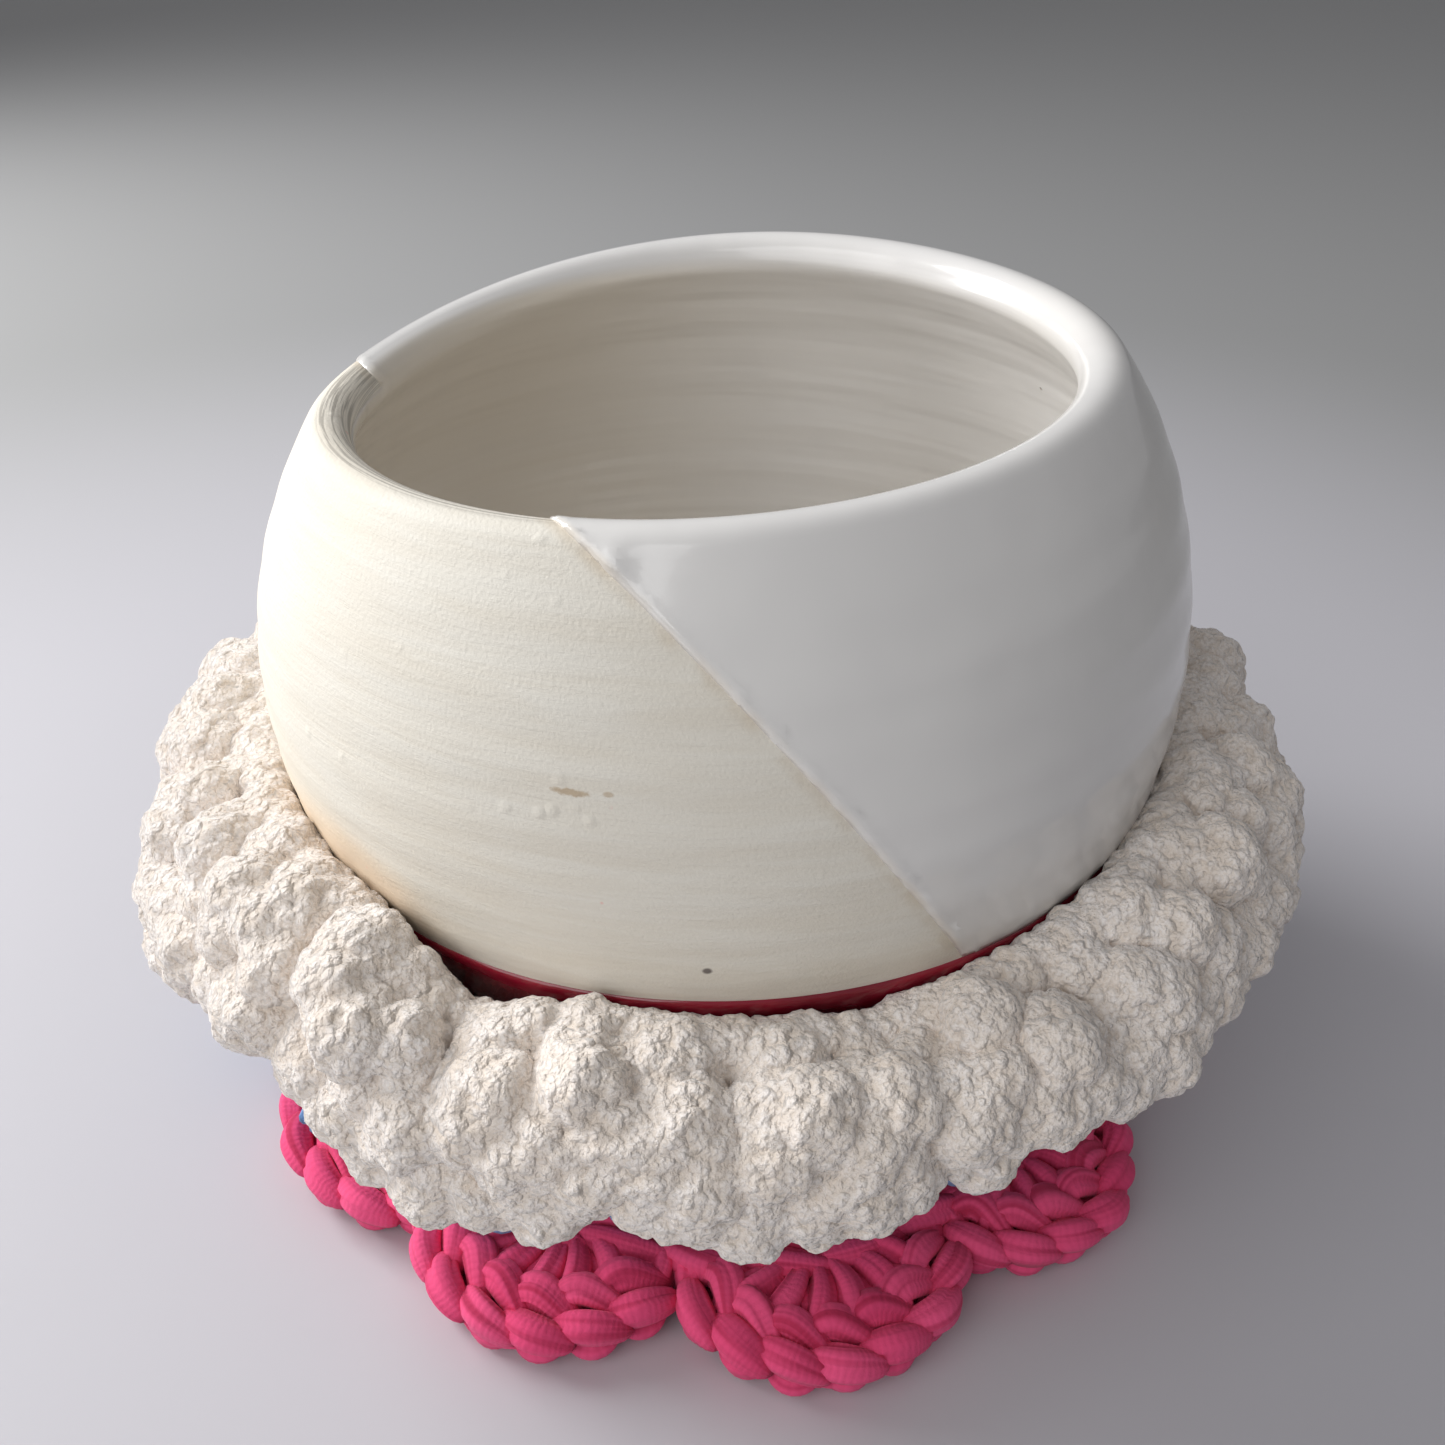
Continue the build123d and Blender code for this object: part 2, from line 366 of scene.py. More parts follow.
def yarn_material(name, light, dark, crease, glow, row, rib_height):
    """Knitted or plied yarn: fine rows across each strand, rolled folds along it, and painted shade in the crease
    colour: in the folds' grooves, between rows and at the tucked ends.
    """
    s = Shader(name)
    uv = s.add("ShaderNodeUVMap", uv_map="strand").outputs["UV"]
    folds = s.noise(1.0, 2, 0.5, s.vector("MULTIPLY", uv, (7, 0.02, 0)))
    along = s.add("ShaderNodeSeparateXYZ")
    s.feed(along.inputs[0], uv)
    sway = s.math("MULTIPLY", s.noise(1.0, 1, 0.5, s.vector("MULTIPLY", uv, (5, 0.25, 0))), 1.6)
    rows = s.math("SINE", s.math("MULTIPLY", s.math("ADD", along.outputs["Y"], sway), TAU / row))
    fibre = s.noise(1.0, 2, 0.6, s.vector("MULTIPLY", uv, (30, 2.2, 0)))
    colour = s.mix(s.attribute("tone"), dark, light)
    # Painted shade: the crease colour darkens the grooves of the folds, the grooves between rows and, through a
    # per-vertex attribute, the strand ends that go under others.
    colour = s.mix(s.math("MULTIPLY", s.window(folds, 0.50, 0.32), 0.8), colour, crease)
    colour = s.mix(s.math("MULTIPLY", s.window(rows, 0.2, -0.9), 0.10), colour, crease)
    colour = s.mix(s.attribute("tucked_end_shade"), colour, crease)
    relief = s.math("ADD", s.math("MULTIPLY", folds, 1.6), s.math("MULTIPLY", rows, 0.05))
    relief = s.math("ADD", relief, s.math("MULTIPLY", fibre, 0.25))
    s.set(Base_Color=colour, Normal=s.bump(relief, rib_height), Roughness=0.85)
    s.set(Specular_IOR_Level=0.2, Sheen_Weight=0.25, Sheen_Roughness=0.5, Sheen_Tint=glow)
    return s.material


def chenille_material():
    """Cream chenille: velvety pile in small round tufts, with painted shade in tan: in the seams between tufts and
    clumps, in the pits of the fluff and deep in the creases.
    """
    s = Shader("cream_chenille_yarn")
    tufts = s.cells(900, 0.35)
    clumps = s.cells(460, 0.35)
    fluff = s.noise(2100, 1, 0.5)
    patch = s.noise(60, 2)
    tuft_domes = s.math("MULTIPLY", tufts, tufts)
    clump_domes = s.math("MULTIPLY", clumps, clumps)
    colour = s.mix(s.window(patch, 0.35, 0.7), (0.930, 0.860, 0.805), (0.950, 0.895, 0.860))
    # Painted shade: darker tan in the seams between tufts and clumps, in the pits of the fluff, and where the crease
    # attribute marks the creases.
    colour = s.mix(s.math("MULTIPLY", s.window(tufts, 0.30, 0.75), 0.35), colour, (0.78, 0.67, 0.56))
    colour = s.mix(s.math("MULTIPLY", s.window(clumps, 0.40, 0.80), 0.35), colour, (0.74, 0.61, 0.48))
    colour = s.mix(s.math("MULTIPLY", s.window(fluff, 0.52, 0.36), 0.40), colour, (0.74, 0.63, 0.52))
    colour = s.mix(s.attribute("crease"), colour, (0.50, 0.35, 0.22))
    relief = s.math("ADD", s.math("MULTIPLY", tuft_domes, -1.5), s.math("MULTIPLY", clump_domes, -1.7))
    relief = s.math("ADD", relief, s.math("MULTIPLY", fluff, 0.9))
    s.set(Base_Color=colour, Normal=s.bump(relief, 0.42), Roughness=1.0)
    s.set(Specular_IOR_Level=0.05, Sheen_Weight=0.9, Sheen_Roughness=0.45, Sheen_Tint=(1.0, 0.96, 0.93))
    return s.material


# ---------------------------------------------------------------- the bowl
def turn(angle, axis):
    """A rotation matrix about X or Y."""
    c, s = math.cos(angle), math.sin(angle)
    if axis == "X":
        return np.array([[1, 0, 0], [0, c, -s], [0, s, c]])
    return np.array([[c, 0, s], [0, 1, 0], [-s, 0, c]])


TILT = turn(-RIM_TILT_X, "Y") @ turn(-RIM_TILT_Y, "X")


def smooth_step(value, low, high):
    t = np.clip((value - low) / (high - low), 0, 1)
    return t * t * (3 - 2 * t)


def bump_at(angle, centre, width):
    """1 at an angle in degrees, falling off on both sides."""
    away = (math.degrees(angle) - centre + 180) % 360 - 180
    return math.exp(-((away / width) ** 2))


def outer_profile(start, count):
    """(radius, height) of the outside, from an angle below the belly up to the lip, and its normals."""
    angle = np.linspace(start, LIP_ANGLE, count)
    normal = np.stack([np.cos(angle), np.sin(angle)], 1)
    return normal * BELLY_R, normal


def lip_profile(count):
    """The rounded lip, from the outside over to the inside."""
    angle = LIP_ANGLE + np.linspace(0, math.pi, count)
    normal = np.stack([np.cos(angle), np.sin(angle)], 1)
    centre = (BELLY_R - LIP_ROLL) * np.array([math.cos(LIP_ANGLE), math.sin(LIP_ANGLE)])
    return centre + LIP_ROLL * normal, normal


def inner_profile(count):
    """The inside, from the lip down the wall to the middle of the well."""
    angle = np.linspace(LIP_ANGLE, -math.pi / 2, count)
    thick = WALL + (2 * LIP_ROLL - WALL) * np.exp(-(((LIP_ANGLE - angle) / math.radians(13)) ** 2))
    depth = BELLY_R - thick
    points = np.stack([depth * np.cos(angle), depth * np.sin(angle)], 1)
    floor = WELL_Z - BELLY_Z
    soft = 3.0
    points[:, 1] = soft * np.logaddexp(points[:, 1] / soft, floor / soft)
    along = np.gradient(points, axis=0)
    normal = np.stack([along[:, 1], -along[:, 0]], 1)
    normal /= np.linalg.norm(normal, axis=1)[:, None]
    return points, normal


def thrown(profile, columns, normals_2d, offset=0.0):
    """Turns a profile round the axis with the hand-thrown unevenness, the rim tilted about the sphere's centre."""
    theta = np.arange(columns) * TAU / columns
    radius, height = profile[:, :1], profile[:, 1:]
    radius = radius + offset * normals_2d[:, :1]
    height = height + offset * normals_2d[:, 1:]
    wobble = 0.25 * np.sin(2 * theta + 0.6)[None, :] + 0.15 * np.sin(3 * theta + 2.0)[None, :]
    high = smooth_step(height, 5, 45)
    rings = 0.09 * np.sin(height * TAU / 8.5 + 0.5 * np.sin(theta)[None, :] + 0.7) * smooth_step(height, 44, 30)
    around = radius + (wobble + rings) * smooth_step(radius, 10, 30)
    lip_wave = np.array([1.8 * bump_at(a, 82, 42) - 2.3 * bump_at(a, 162, 34) + 0.4 * bump_at(a, -90, 50) for a in theta])
    up = height + high * lip_wave[None, :]
    points = np.stack([around * np.cos(theta) + high, around * np.sin(theta), up], -1)
    share = smooth_step(points[..., 2:], -35, 20)
    return CENTRE + points * (1 - share) + (points @ TILT.T) * share


def closed_grid(rings):
    """Points and faces of a stack of rings whose first and last rings close at a point each."""
    rows, columns, _ = rings.shape
    points = rings.reshape(-1, 3)
    faces = grid_faces(rows, columns)
    first, last = len(points), len(points) + 1
    points = np.concatenate([points, rings[0].mean(0)[None], rings[-1].mean(0)[None]])
    top = (rows - 1) * columns
    for c in range(columns):
        d = (c + 1) % columns
        faces.append((first, d, c))
        faces.append((last, top + c, top + d))
    return points, faces


def stoneware_body():
    """The whole fired clay body: foot ring, round wall, lip and inside."""
    foot = FOOT_Z - BELLY_Z
    shoulder_start = math.asin((foot + 5.0) / BELLY_R)
    under = [(1.0, foot + 3.5), (31.0, foot + 3.4), (33.0, foot + 2.6), (33.8, foot + 0.6), (34.8, foot)]
    under += [(40.0, foot), (41.2, foot + 0.7), (41.6, foot + 2.2), (42.6, foot + 4.4)]
    under = np.array(under)
    outer, outer_n = outer_profile(shoulder_start, 70)
    lip, lip_n = lip_profile(20)
    inner, inner_n = inner_profile(56)
    profile = np.concatenate([under, outer, lip[1:-1], inner[:-1]])
    facing = np.concatenate([np.tile([0.0, -1.0], (len(under), 1)), outer_n, lip_n[1:-1], inner_n[:-1]])
    rings = thrown(profile, 320, facing)
    return closed_grid(rings)


def white_glaze_skin(material):
    """The white glaze: all of the inside, and the outside down to the dip line and the red glaze."""
    columns = 320
    start = math.asin((RED_HIGH[2] - BELLY_Z) / BELLY_R)
    outer, outer_n = outer_profile(start, 52)
    lip, lip_n = lip_profile(20)
    inner, inner_n = inner_profile(52)
    dry_lip_rows = 14                  # the dry clay runs this far over the lip
    profile = np.concatenate([outer, lip[1:-1], inner[:-1]])
    facing = np.concatenate([outer_n, lip_n[1:-1], inner_n[:-1]])
    rings = thrown(profile, columns, facing)
    rows = len(profile)
    outside_faces = (len(outer) + dry_lip_rows) * columns
    points = rings.reshape(-1, 3)
    faces = grid_faces(rows, columns)
    middle = len(points)
    points = np.concatenate([points, rings[-1].mean(0)[None]])
    last = (rows - 1) * columns
    faces += [(middle, last + c, last + (c + 1) % columns) for c in range(columns)]

    obj = mesh_object("white_glaze", points, faces, material)
    bm = bmesh.new()
    bm.from_mesh(obj.data)
    bm.faces.ensure_lookup_table()
    zone = bm.faces.layers.int.new("outside")
    for face in bm.faces:
        face[zone] = 1 if face.index < outside_faces else 0
    origin = Vector((CENTRE + DIP_NORMAL * DIP_OFFSET) * MM)
    direction = Vector(DIP_NORMAL)
    for step in (0.0, 0.5, 1.1, 1.9, 2.8):
        cut = [f for f in bm.faces if f[zone]]
        edges = {e for f in cut for e in f.edges}
        verts = {v for f in cut for v in f.verts}
        at = origin + direction * step * MM
        bmesh.ops.bisect_plane(bm, geom=cut + list(edges) + list(verts), plane_co=at, plane_no=direction)
    dry = [f for f in bm.faces if f[zone] and (f.calc_center_median() - origin).dot(direction) < 0]
    bmesh.ops.delete(bm, geom=dry, context="FACES")
    bm.normal_update()
    line = [v.co for v in bm.verts if abs((v.co - origin).dot(direction)) < 2e-6 and v.co.y < 0]
    bead_z = max(co.z for co in line) - 3.6 * MM
    bead_at = min(line, key=lambda co: abs(co.z - bead_z)) + direction * 1.4 * MM
    steps_in = {v: 0 for v in bm.verts if v.is_boundary}
    edge_thickness = (0.06, 0.30, 0.44, 0.47, 0.44)
    for step in range(1, len(edge_thickness)):
        for v in [v for v, at in steps_in.items() if at == step - 1]:
            for e in v.link_edges:
                steps_in.setdefault(e.other_vert(v), step)
    lift = []
    for v in bm.verts:
        thick = edge_thickness[steps_in[v]] if v in steps_in else SKIN
        if v.co.y > 0:
            thick *= 0.4 + 0.15 * steps_in.get(v, 4)
        bead = ((v.co - bead_at).length / MM / 2.0) ** 2
        lift.append(v.normal * (thick + 0.55 * math.exp(-bead)) * MM)
    for v, move in zip(bm.verts, lift):
        v.co += move
    bm.to_mesh(obj.data)
    bm.free()
    solid = obj.modifiers.new("thickness", "SOLIDIFY")
    solid.thickness = 0.55 * MM
    solid.offset = -1
    return applied(obj)


def red_glaze_band(material):
    """The red glaze on the lower belly, rounded over at its sharp upper edge."""
    columns = 320
    low = math.asin((RED_LOW[2] - BELLY_Z) / BELLY_R)
    high = math.asin((RED_HIGH[2] - BELLY_Z) / BELLY_R)
    angle = np.linspace(low, high, 40)
    normal = np.stack([np.cos(angle), np.sin(angle)], 1)
    to_edge = np.minimum(angle - low, high - angle) * BELLY_R
    thick = SKIN * np.sqrt(np.clip(to_edge / 0.9, 0.05, 1.0)) + 0.05
    profile = normal * (BELLY_R + thick[:, None])
    rings = thrown(profile, columns, normal)
    obj = mesh_object("red_glaze", rings.reshape(-1, 3), grid_faces(len(profile), columns), material)
    solid = obj.modifiers.new("thickness", "SOLIDIFY")
    solid.thickness = 0.6 * MM
    solid.offset = -1
    return applied(obj)


# ---------------------------------------------------------------- yarn
class Yarn:
    """Collects plump strands of yarn into one mesh, with UVs along each strand."""

    def __init__(self, seed):
        self.random = np.random.default_rng(seed)
        self.points, self.faces, self.uv, self.tone, self.tucked_end_shade = [], [], [], [], []
        self.count = 0

    def strand(self, path, width, thick, along=12, around=14, end=0.35, flare=0.0, pleats=3, groove=0.2):
        """A tube through a few points, width by thick, plump in the middle and fuller towards its end by flare."""
        path = np.asarray(path, float)
        line = spline_through(path, along + 1)
        tangent = np.gradient(line, axis=0)
        tangent /= np.linalg.norm(tangent, axis=1)[:, None] + 1e-9
        side = np.cross([0.0, 0.0, 1.0], tangent)
        side /= np.linalg.norm(side, axis=1)[:, None] + 1e-9
        top = np.cross(tangent, side)
        t = np.linspace(0, 1, along + 1)
        size = (end + (1 - end) * np.sin(math.pi * t) ** 0.6) * (1 + flare * (t - 0.5))
        turn_by = np.arange(around) * TAU / around
        phase = self.random.uniform(0, TAU)
        folds = 1 - groove * np.clip(np.cos(pleats * turn_by[None, :] + phase + 1.2 * t[:, None]), 0, 1) ** 3
        folds = folds * (1 + 0.04 * np.sin(5 * turn_by[None, :] + phase * 2))
        across = np.cos(turn_by)[None, :] * folds * size[:, None] * width / 2
        upward = np.sin(turn_by)[None, :] * folds * size[:, None] * thick / 2
        rings = line[:, None, :] + across[..., None] * side[:, None, :] + upward[..., None] * top[:, None, :]
        cap_a, cap_b = line[0] - tangent[0] * width * 0.08, line[-1] + tangent[-1] * width * 0.08
        self.points.append(np.concatenate([rings.reshape(-1, 3), cap_a[None], cap_b[None]]))
        base = self.count
        faces = [tuple(base + i for i in f) for f in grid_faces(along + 1, around)]
        a, b = base + (along + 1) * around, base + (along + 1) * around + 1
        for c in range(around):
            d = (c + 1) % around
            faces.append((a, base + d, base + c))
            faces.append((b, base + along * around + c, base + along * around + d))
        self.faces += faces
        length = np.concatenate([[0], np.cumsum(np.linalg.norm(np.diff(line, axis=0), axis=1))])
        u = np.tile(turn_by / TAU, along + 1)
        v = np.repeat(length, around)
        shift = self.random.uniform(0, 50)
        self.uv.append(np.concatenate([np.stack([u + shift, v + shift], 1), [[shift, 0], [shift, length[-1]]]]))
        tone = np.clip(self.random.normal(0.6, 0.2), 0, 1)
        self.tone.append(np.full(len(self.points[-1]), tone))
        # Painted shade: darker towards the strand's ends and caps, where it tucks under its neighbours.
        tucked_end_shade = np.repeat((1 - np.sin(math.pi * t) ** 0.4) * 0.55, around)
        self.tucked_end_shade.append(np.concatenate([tucked_end_shade, [0.6, 0.6]]))
        self.count += len(self.points[-1])

    def object(self, name, material, low):
        """The strands as one object, flattened where they lie on whatever is at the height low."""
        points = np.concatenate(self.points)
        points[:, 2] = np.maximum(points[:, 2], low)
        obj = mesh_object(name, points, self.faces, material)
        mesh = obj.data
        uv = np.concatenate(self.uv)
        layer = mesh.uv_layers.new(name="strand")
        corner = np.zeros(len(mesh.loops), np.int32)
        mesh.loops.foreach_get("vertex_index", corner)
        layer.data.foreach_set("uv", uv[corner].ravel().astype(np.float32))
        float_attribute(mesh, "tone", np.concatenate(self.tone))
        float_attribute(mesh, "tucked_end_shade", np.concatenate(self.tucked_end_shade))
        return obj


def spline_through(path, count):
    """Points along a smooth curve through a few given ones."""
    if len(path) == 2:
        t = np.linspace(0, 1, count)[:, None]
        return path[0] * (1 - t) + path[1] * t
    ends = np.concatenate([[2 * path[0] - path[1]], path, [2 * path[-1] - path[-2]]])
    at = np.linspace(0, len(path) - 1 - 1e-6, count)
    i = at.astype(int)
    t = (at - i)[:, None]
    a, b, c, d = ends[i], ends[i + 1], ends[i + 2], ends[i + 3]
    return 0.5 * (2 * b + (c - a) * t + (2 * a - 5 * b + 4 * c - d) * t**2 + (3 * b - a - 3 * c + d) * t**3)


class Crochet:
    """Crochet stitches of one yarn, laid flat in rounds about a chain; without a chain, about a point."""

    def __init__(self, seed, centre, stretch, low, high, width, **detail):
        self.yarn = Yarn(seed)
        self.centre = np.array([*centre, 0.0])
        self.stretch = stretch
        self.low, self.high, self.width = low, high, width
        self.middle, self.deep = (low + high) / 2, high - low
        self.detail = detail

    def length(self, edge):
        """The way round an edge."""
        return 4 * self.stretch + TAU * edge

    def place(self, distance, edge):
        """Of a distance along an edge, from its front left: its place on the chain, and its way out."""
        straight = 2 * self.stretch
        half = straight + math.pi * edge
        distance %= 2 * half
        side = 1
        if distance >= half:
            side = -1
            distance -= half
        if distance < straight:
            return side * (distance - self.stretch), -math.pi / 2 * side
        return side * self.stretch, -math.pi / 2 * side + (distance - straight) / edge

    def at(self, radius, place, height):
        """A point a radius out from a place on the chain."""
        x, way = place
        return self.centre + np.array([x + radius * math.cos(way), radius * math.sin(way), height])

    def round_of_posts(self, inner, outer, count, phase=0.0, wave=0.0, shells=0):
        """A round of tall stitches, two crossed strands each, under a braid of V's that may wave with the shells."""
        rnd = self.yarn.random
        w, top = self.width, self.high
        thick = self.deep * 0.52
        step = self.length(outer) / count
        tops = []
        for k in range(count):
            d = step * (k + phase + rnd.normal(0, 0.05))
            here = self.place(d, outer)
            for s in (-1, 1):
                z0 = self.middle + s * thick * 0.22
                path = [
                    self.at(inner - w * 0.35, self.place(d + s * step * 0.15, outer), z0 - 0.5),
                    self.at((inner + outer) / 2, self.place(d + s * step * 0.22, outer), z0 + s * thick * 0.12),
                    self.at(outer - w * 0.1, self.place(d - s * step * 0.15, outer), z0),
                ]
                self.yarn.strand(path, min(w, step * 0.62), thick * 1.25, **self.detail)
            tops.append((self.at(outer + wave * math.cos(shells * here[1]), here, top), here[1]))
        for k in range(count):
            (start, way), (stop, _) = tops[k], tops[(k + 1) % count]
            self.v_stitch(start, stop, way + step / outer / 2)

    def v_stitch(self, start, stop, way):
        """One V of the braid along the top of a round, from one point to the next; way is the way out."""
        rnd = self.yarn.random
        w, thick = self.width, self.deep * 0.46
        outward = np.array([math.cos(way), math.sin(way), 0])
        ahead = stop - start
        sink = np.array([0, 0, -1.0])
        for s in (-1, 1):
            bulge = w * (0.50 + rnd.normal(0, 0.06))
            first = -0.55 if s < 0 else 0.0
            last = 0.05 if s < 0 else 0.55
            path = [
                start - ahead * 0.28 + outward * first * w + sink * thick * 0.85,
                start + ahead * 0.40 + outward * s * bulge + sink * thick * (0.45 + 0.15 * s),
                stop + ahead * 0.25 + outward * last * w + sink * thick * 0.95,
            ]
            self.yarn.strand(path, w * (0.92 + rnd.normal(0, 0.05)), thick * 1.2, **self.detail)

    def shells(self, root_r, edge, tip, count, start, posts, edge_stitches, spread, odd_at, growth, shift):
        """The edging: fans of plump posts with a braid round each fan's rim; one at odd_at differs in size and place."""
        rnd = self.yarn.random
        w = self.width
        step = self.length(edge) / count
        for k in range(count):
            d = edge * (math.radians(start) + math.pi / 2) + step * (k + rnd.normal(0, 0.02))
            odd = bump_at(self.place(d, edge)[1], odd_at, 28)
            here = self.place(d + shift * odd, edge)
            a = here[1]
            root = self.at(root_r, here, 0)
            reach = (tip - root_r) * (1 + rnd.normal(0, 0.02)) * (1 + growth * odd)
            self.backing(root, reach - w * 0.55, a)
            for j in range(posts):
                b = a + spread * (2 * (j + 0.5) / posts - 1) + rnd.normal(0, 0.03)
                self.shell_post(root, reach - w * 0.75, b, 1.6 * spread * reach / posts)
            for turned in (0.44, 0.56):
                gap = self.place(d + step * turned, edge)
                path = [self.at(root_r, gap, self.middle), self.at(edge - w * 0.3, gap, self.middle - 0.5)]
                self.yarn.strand(path, w, self.deep * 0.8, **self.detail)
            limit = spread * 1.06
            rim = reach - w * 0.72
            ends = []
            for j in range(edge_stitches + 1):
                b = a + limit * (2 * j / edge_stitches - 1)
                way = np.array([math.cos(b), math.sin(b), 0])
                ends.append((root + rim * way + [0, 0, self.high - 0.3], b))
            for (start_at, b), (stop_at, c) in zip(ends, ends[1:]):
                self.v_stitch(start_at, stop_at, (b + c) / 2)
                self.edge_wrap(start_at, stop_at, (b + c) / 2)

    def shell_post(self, root, reach, way, width):
        """One tall stitch of a shell: crossed strands, narrow at the root and full at the rim."""
        rnd = self.yarn.random
        out = np.array([math.cos(way), math.sin(way), 0])
        side = np.array([-out[1], out[0], 0])
        for s in (-1, 1):
            z = self.middle + s * self.deep * 0.10 + rnd.normal(0, 0.15)
            lean = s * width * 0.16
            path = [
                root + out * self.width * 0.3 + side * lean * 0.4 + [0, 0, z - self.deep * 0.08],
                root + out * reach * 0.6 + side * lean + [0, 0, z + self.deep * 0.10],
                root + out * reach - side * lean * 0.8 + [0, 0, z - self.deep * 0.04],
            ]
            self.yarn.strand(path, width * 0.62, self.deep * 0.62, flare=0.9, **self.detail)

    def backing(self, root, reach, way):
        """The underside of a shell: short strands that close it below its posts."""
        out = np.array([math.cos(way), math.sin(way), 0])
        side = np.array([-out[1], out[0], 0])
        z = self.low + self.deep * 0.30
        rows = max(2, int(reach / self.width * 1.3))
        for i in range(rows):
            r = reach * (i + 0.7) / rows
            half = math.sqrt(max(reach**2 - r**2, 0)) * 0.9 + self.width * 0.3
            path = [root + out * r * 0.9 - side * half, root + out * (r + 1), root + out * r * 0.9 + side * half]
            path = [point + [0, 0, z] for point in path]
            self.yarn.strand(path, self.width * 1.15, self.deep * 0.5, **self.detail)

    def edge_wrap(self, start, stop, way):
        """The strand under an edge stitch, which closes the mat's side down to what it lies on."""
        w, drop = self.width, self.deep
        outward = np.array([math.cos(way), math.sin(way), 0])
        path = [
            start + outward * w * 0.02 - [0, 0, drop * 0.58],
            (start + stop) / 2 + outward * w * 0.28 - [0, 0, drop * 0.68],
            stop + outward * w * 0.02 - [0, 0, drop * 0.58],
        ]
        self.yarn.strand(path, w * 1.05, drop * 0.55, **self.detail)


def mat(prefix, slot, material, width, posts, shells, edge, start, fan, seed, detail):
    """A crocheted mat: a centre, rounds of posts and an edging of shells, one piece for each CAD node."""
    names = [f"{prefix}_centre_round"] + [f"{prefix}_round_{i}" for i in range(1, len(posts))]
    radii = []
    for node in names:
        low, high = corners_mm(node)
        radii.append((high[1] - low[1]) / 2)
    stretch = (high[0] - low[0]) / 2 - radii[-1]
    centre = ((low + high) / 2)[:2]
    for i, node in enumerate(names):
        work = Crochet(seed + i, centre, stretch, low[2], high[2], width, **detail)
        inner = radii[i - 1] if i else width * 0.55
        wave = 1.6 if node == names[-1] else 0.0
        work.round_of_posts(inner, radii[i], posts[i], 0.37 * i, wave, shells)
        place(work.yarn.object(node.replace("_mat_", "_yarn_"), material, low[2]), prefix, slot, node)
    node = f"{prefix}_shell_edging"
    edging_low, edging_high = corners_mm(node)
    tip = (edging_high[1] - edging_low[1]) / 2
    work = Crochet(seed + 9, centre, stretch, low[2], high[2], width, **detail)
    root_r = radii[-1] - 0.35 * width
    work.shells(root_r, edge, tip, shells, start, **fan)
    place(work.yarn.object(node.replace("_mat_", "_yarn_"), material, low[2]), prefix, slot, node)


# ---------------------------------------------------------------- the chenille nest
class Chenille:
    """Thick velvet yarn as overlapping puffs, fused into one lumpy surface."""

    def __init__(self, seed):
        self.random = np.random.default_rng(seed)
        self.centres, self.radii = [], []
        self.seed = seed

    def puff(self, centre, radius):
        self.centres.append(np.asarray(centre, float))
        self.radii.append(np.asarray(radius, float) * np.ones(3))

    def run(self, path, start_r, end_r=None, swell=0.12, spacing=0.62, jitter=0.45):
        """A length of yarn along a few points, as overlapping puffs of uneven size."""
        path = np.asarray(path, float)
        end_r = start_r if end_r is None else end_r
        line = spline_through(path, 60)
        length = np.concatenate([[0], np.cumsum(np.linalg.norm(np.diff(line, axis=0), axis=1))])
        count = max(2, int(round(length[-1] / (start_r * spacing * 2 * 0.5))) + 1)
        for i, at in enumerate(np.linspace(0, length[-1], count)):
            p = np.array([np.interp(at, length, line[:, k]) for k in range(3)])
            share = at / max(length[-1], 1e-6)
            size = start_r + (end_r - start_r) * share
            size *= 1 + swell * math.sin(2.1 * i + self.random.uniform(-0.8, 0.8))
            self.puff(p + self.random.normal(0, jitter, 3), size)

    def object(self, name, material, voxel, tuft=1.0, crease_depth=1.7):
        """Fuses the puffs and raises the pile."""
        unit = bmesh.new()
        bmesh.ops.create_icosphere(unit, subdivisions=2, radius=1.0)
        sphere = np.array([v.co for v in unit.verts])
        sphere_faces = np.array([[v.index for v in f.verts] for f in unit.faces])
        unit.free()
        points = np.concatenate([c + sphere * r for c, r in zip(self.centres, self.radii)])
        faces = np.concatenate([sphere_faces + i * len(sphere) for i in range(len(self.centres))])
        obj = mesh_object(name, points, faces.tolist(), material)
        remesh = obj.modifiers.new("fuse", "REMESH")
        remesh.mode = "VOXEL"
        remesh.voxel_size = voxel * MM
        obj = applied(obj)
        obj.data.materials.clear()
        obj.data.materials.append(material)
        mesh = obj.data
        points = relaxed(mesh, coordinates(mesh), 2, 0.5)
        soft = relaxed(mesh, points, 26, 0.6)
        set_coordinates(mesh, points)
        facing = normals(mesh)
        hollow = ((soft - points) * facing).sum(1)
        crease = smooth_step(hollow, 0.1, crease_depth)
        grain = np.array([tuft_height(p, self.seed) for p in points])
        points = points + facing * (tuft * grain * (1 - 0.5 * crease))[:, None]
        set_coordinates(mesh, points)
        mesh.polygons.foreach_set("use_smooth", np.full(len(mesh.polygons), True))
        # Painted shade: the crease attribute, high in hollows and in the seams between the pile's domes, darkens the
        # chenille's colour there.
        seams = np.clip(0.35 - grain, 0, 1)
        float_attribute(mesh, "crease", np.clip(crease * 0.75 + seams * 0.35, 0, 0.85))
        return obj


def tuft_domes(point, size):
    """Round domes packed together, 1 at their tops and 0 in the seams between them."""
    nearest = noise.voronoi(point / size)[0][0]
    return max(0.0, 1 - (nearest / 0.75) ** 2)


def tuft_height(point, seed):
    """Height of the pile at a point: small round tufts on larger clumps."""
    p = Vector(point) + Vector((seed * 7.3, 0, 0))
    drift = noise.noise_vector(p * 0.2) * 0.8
    pile = 0.60 * tuft_domes(p, 2.0) + 0.75 * tuft_domes(p + drift, 4.4)
    return pile + 0.15 * noise.noise(p * 1.1) + 0.4 * noise.noise(p * 0.22)


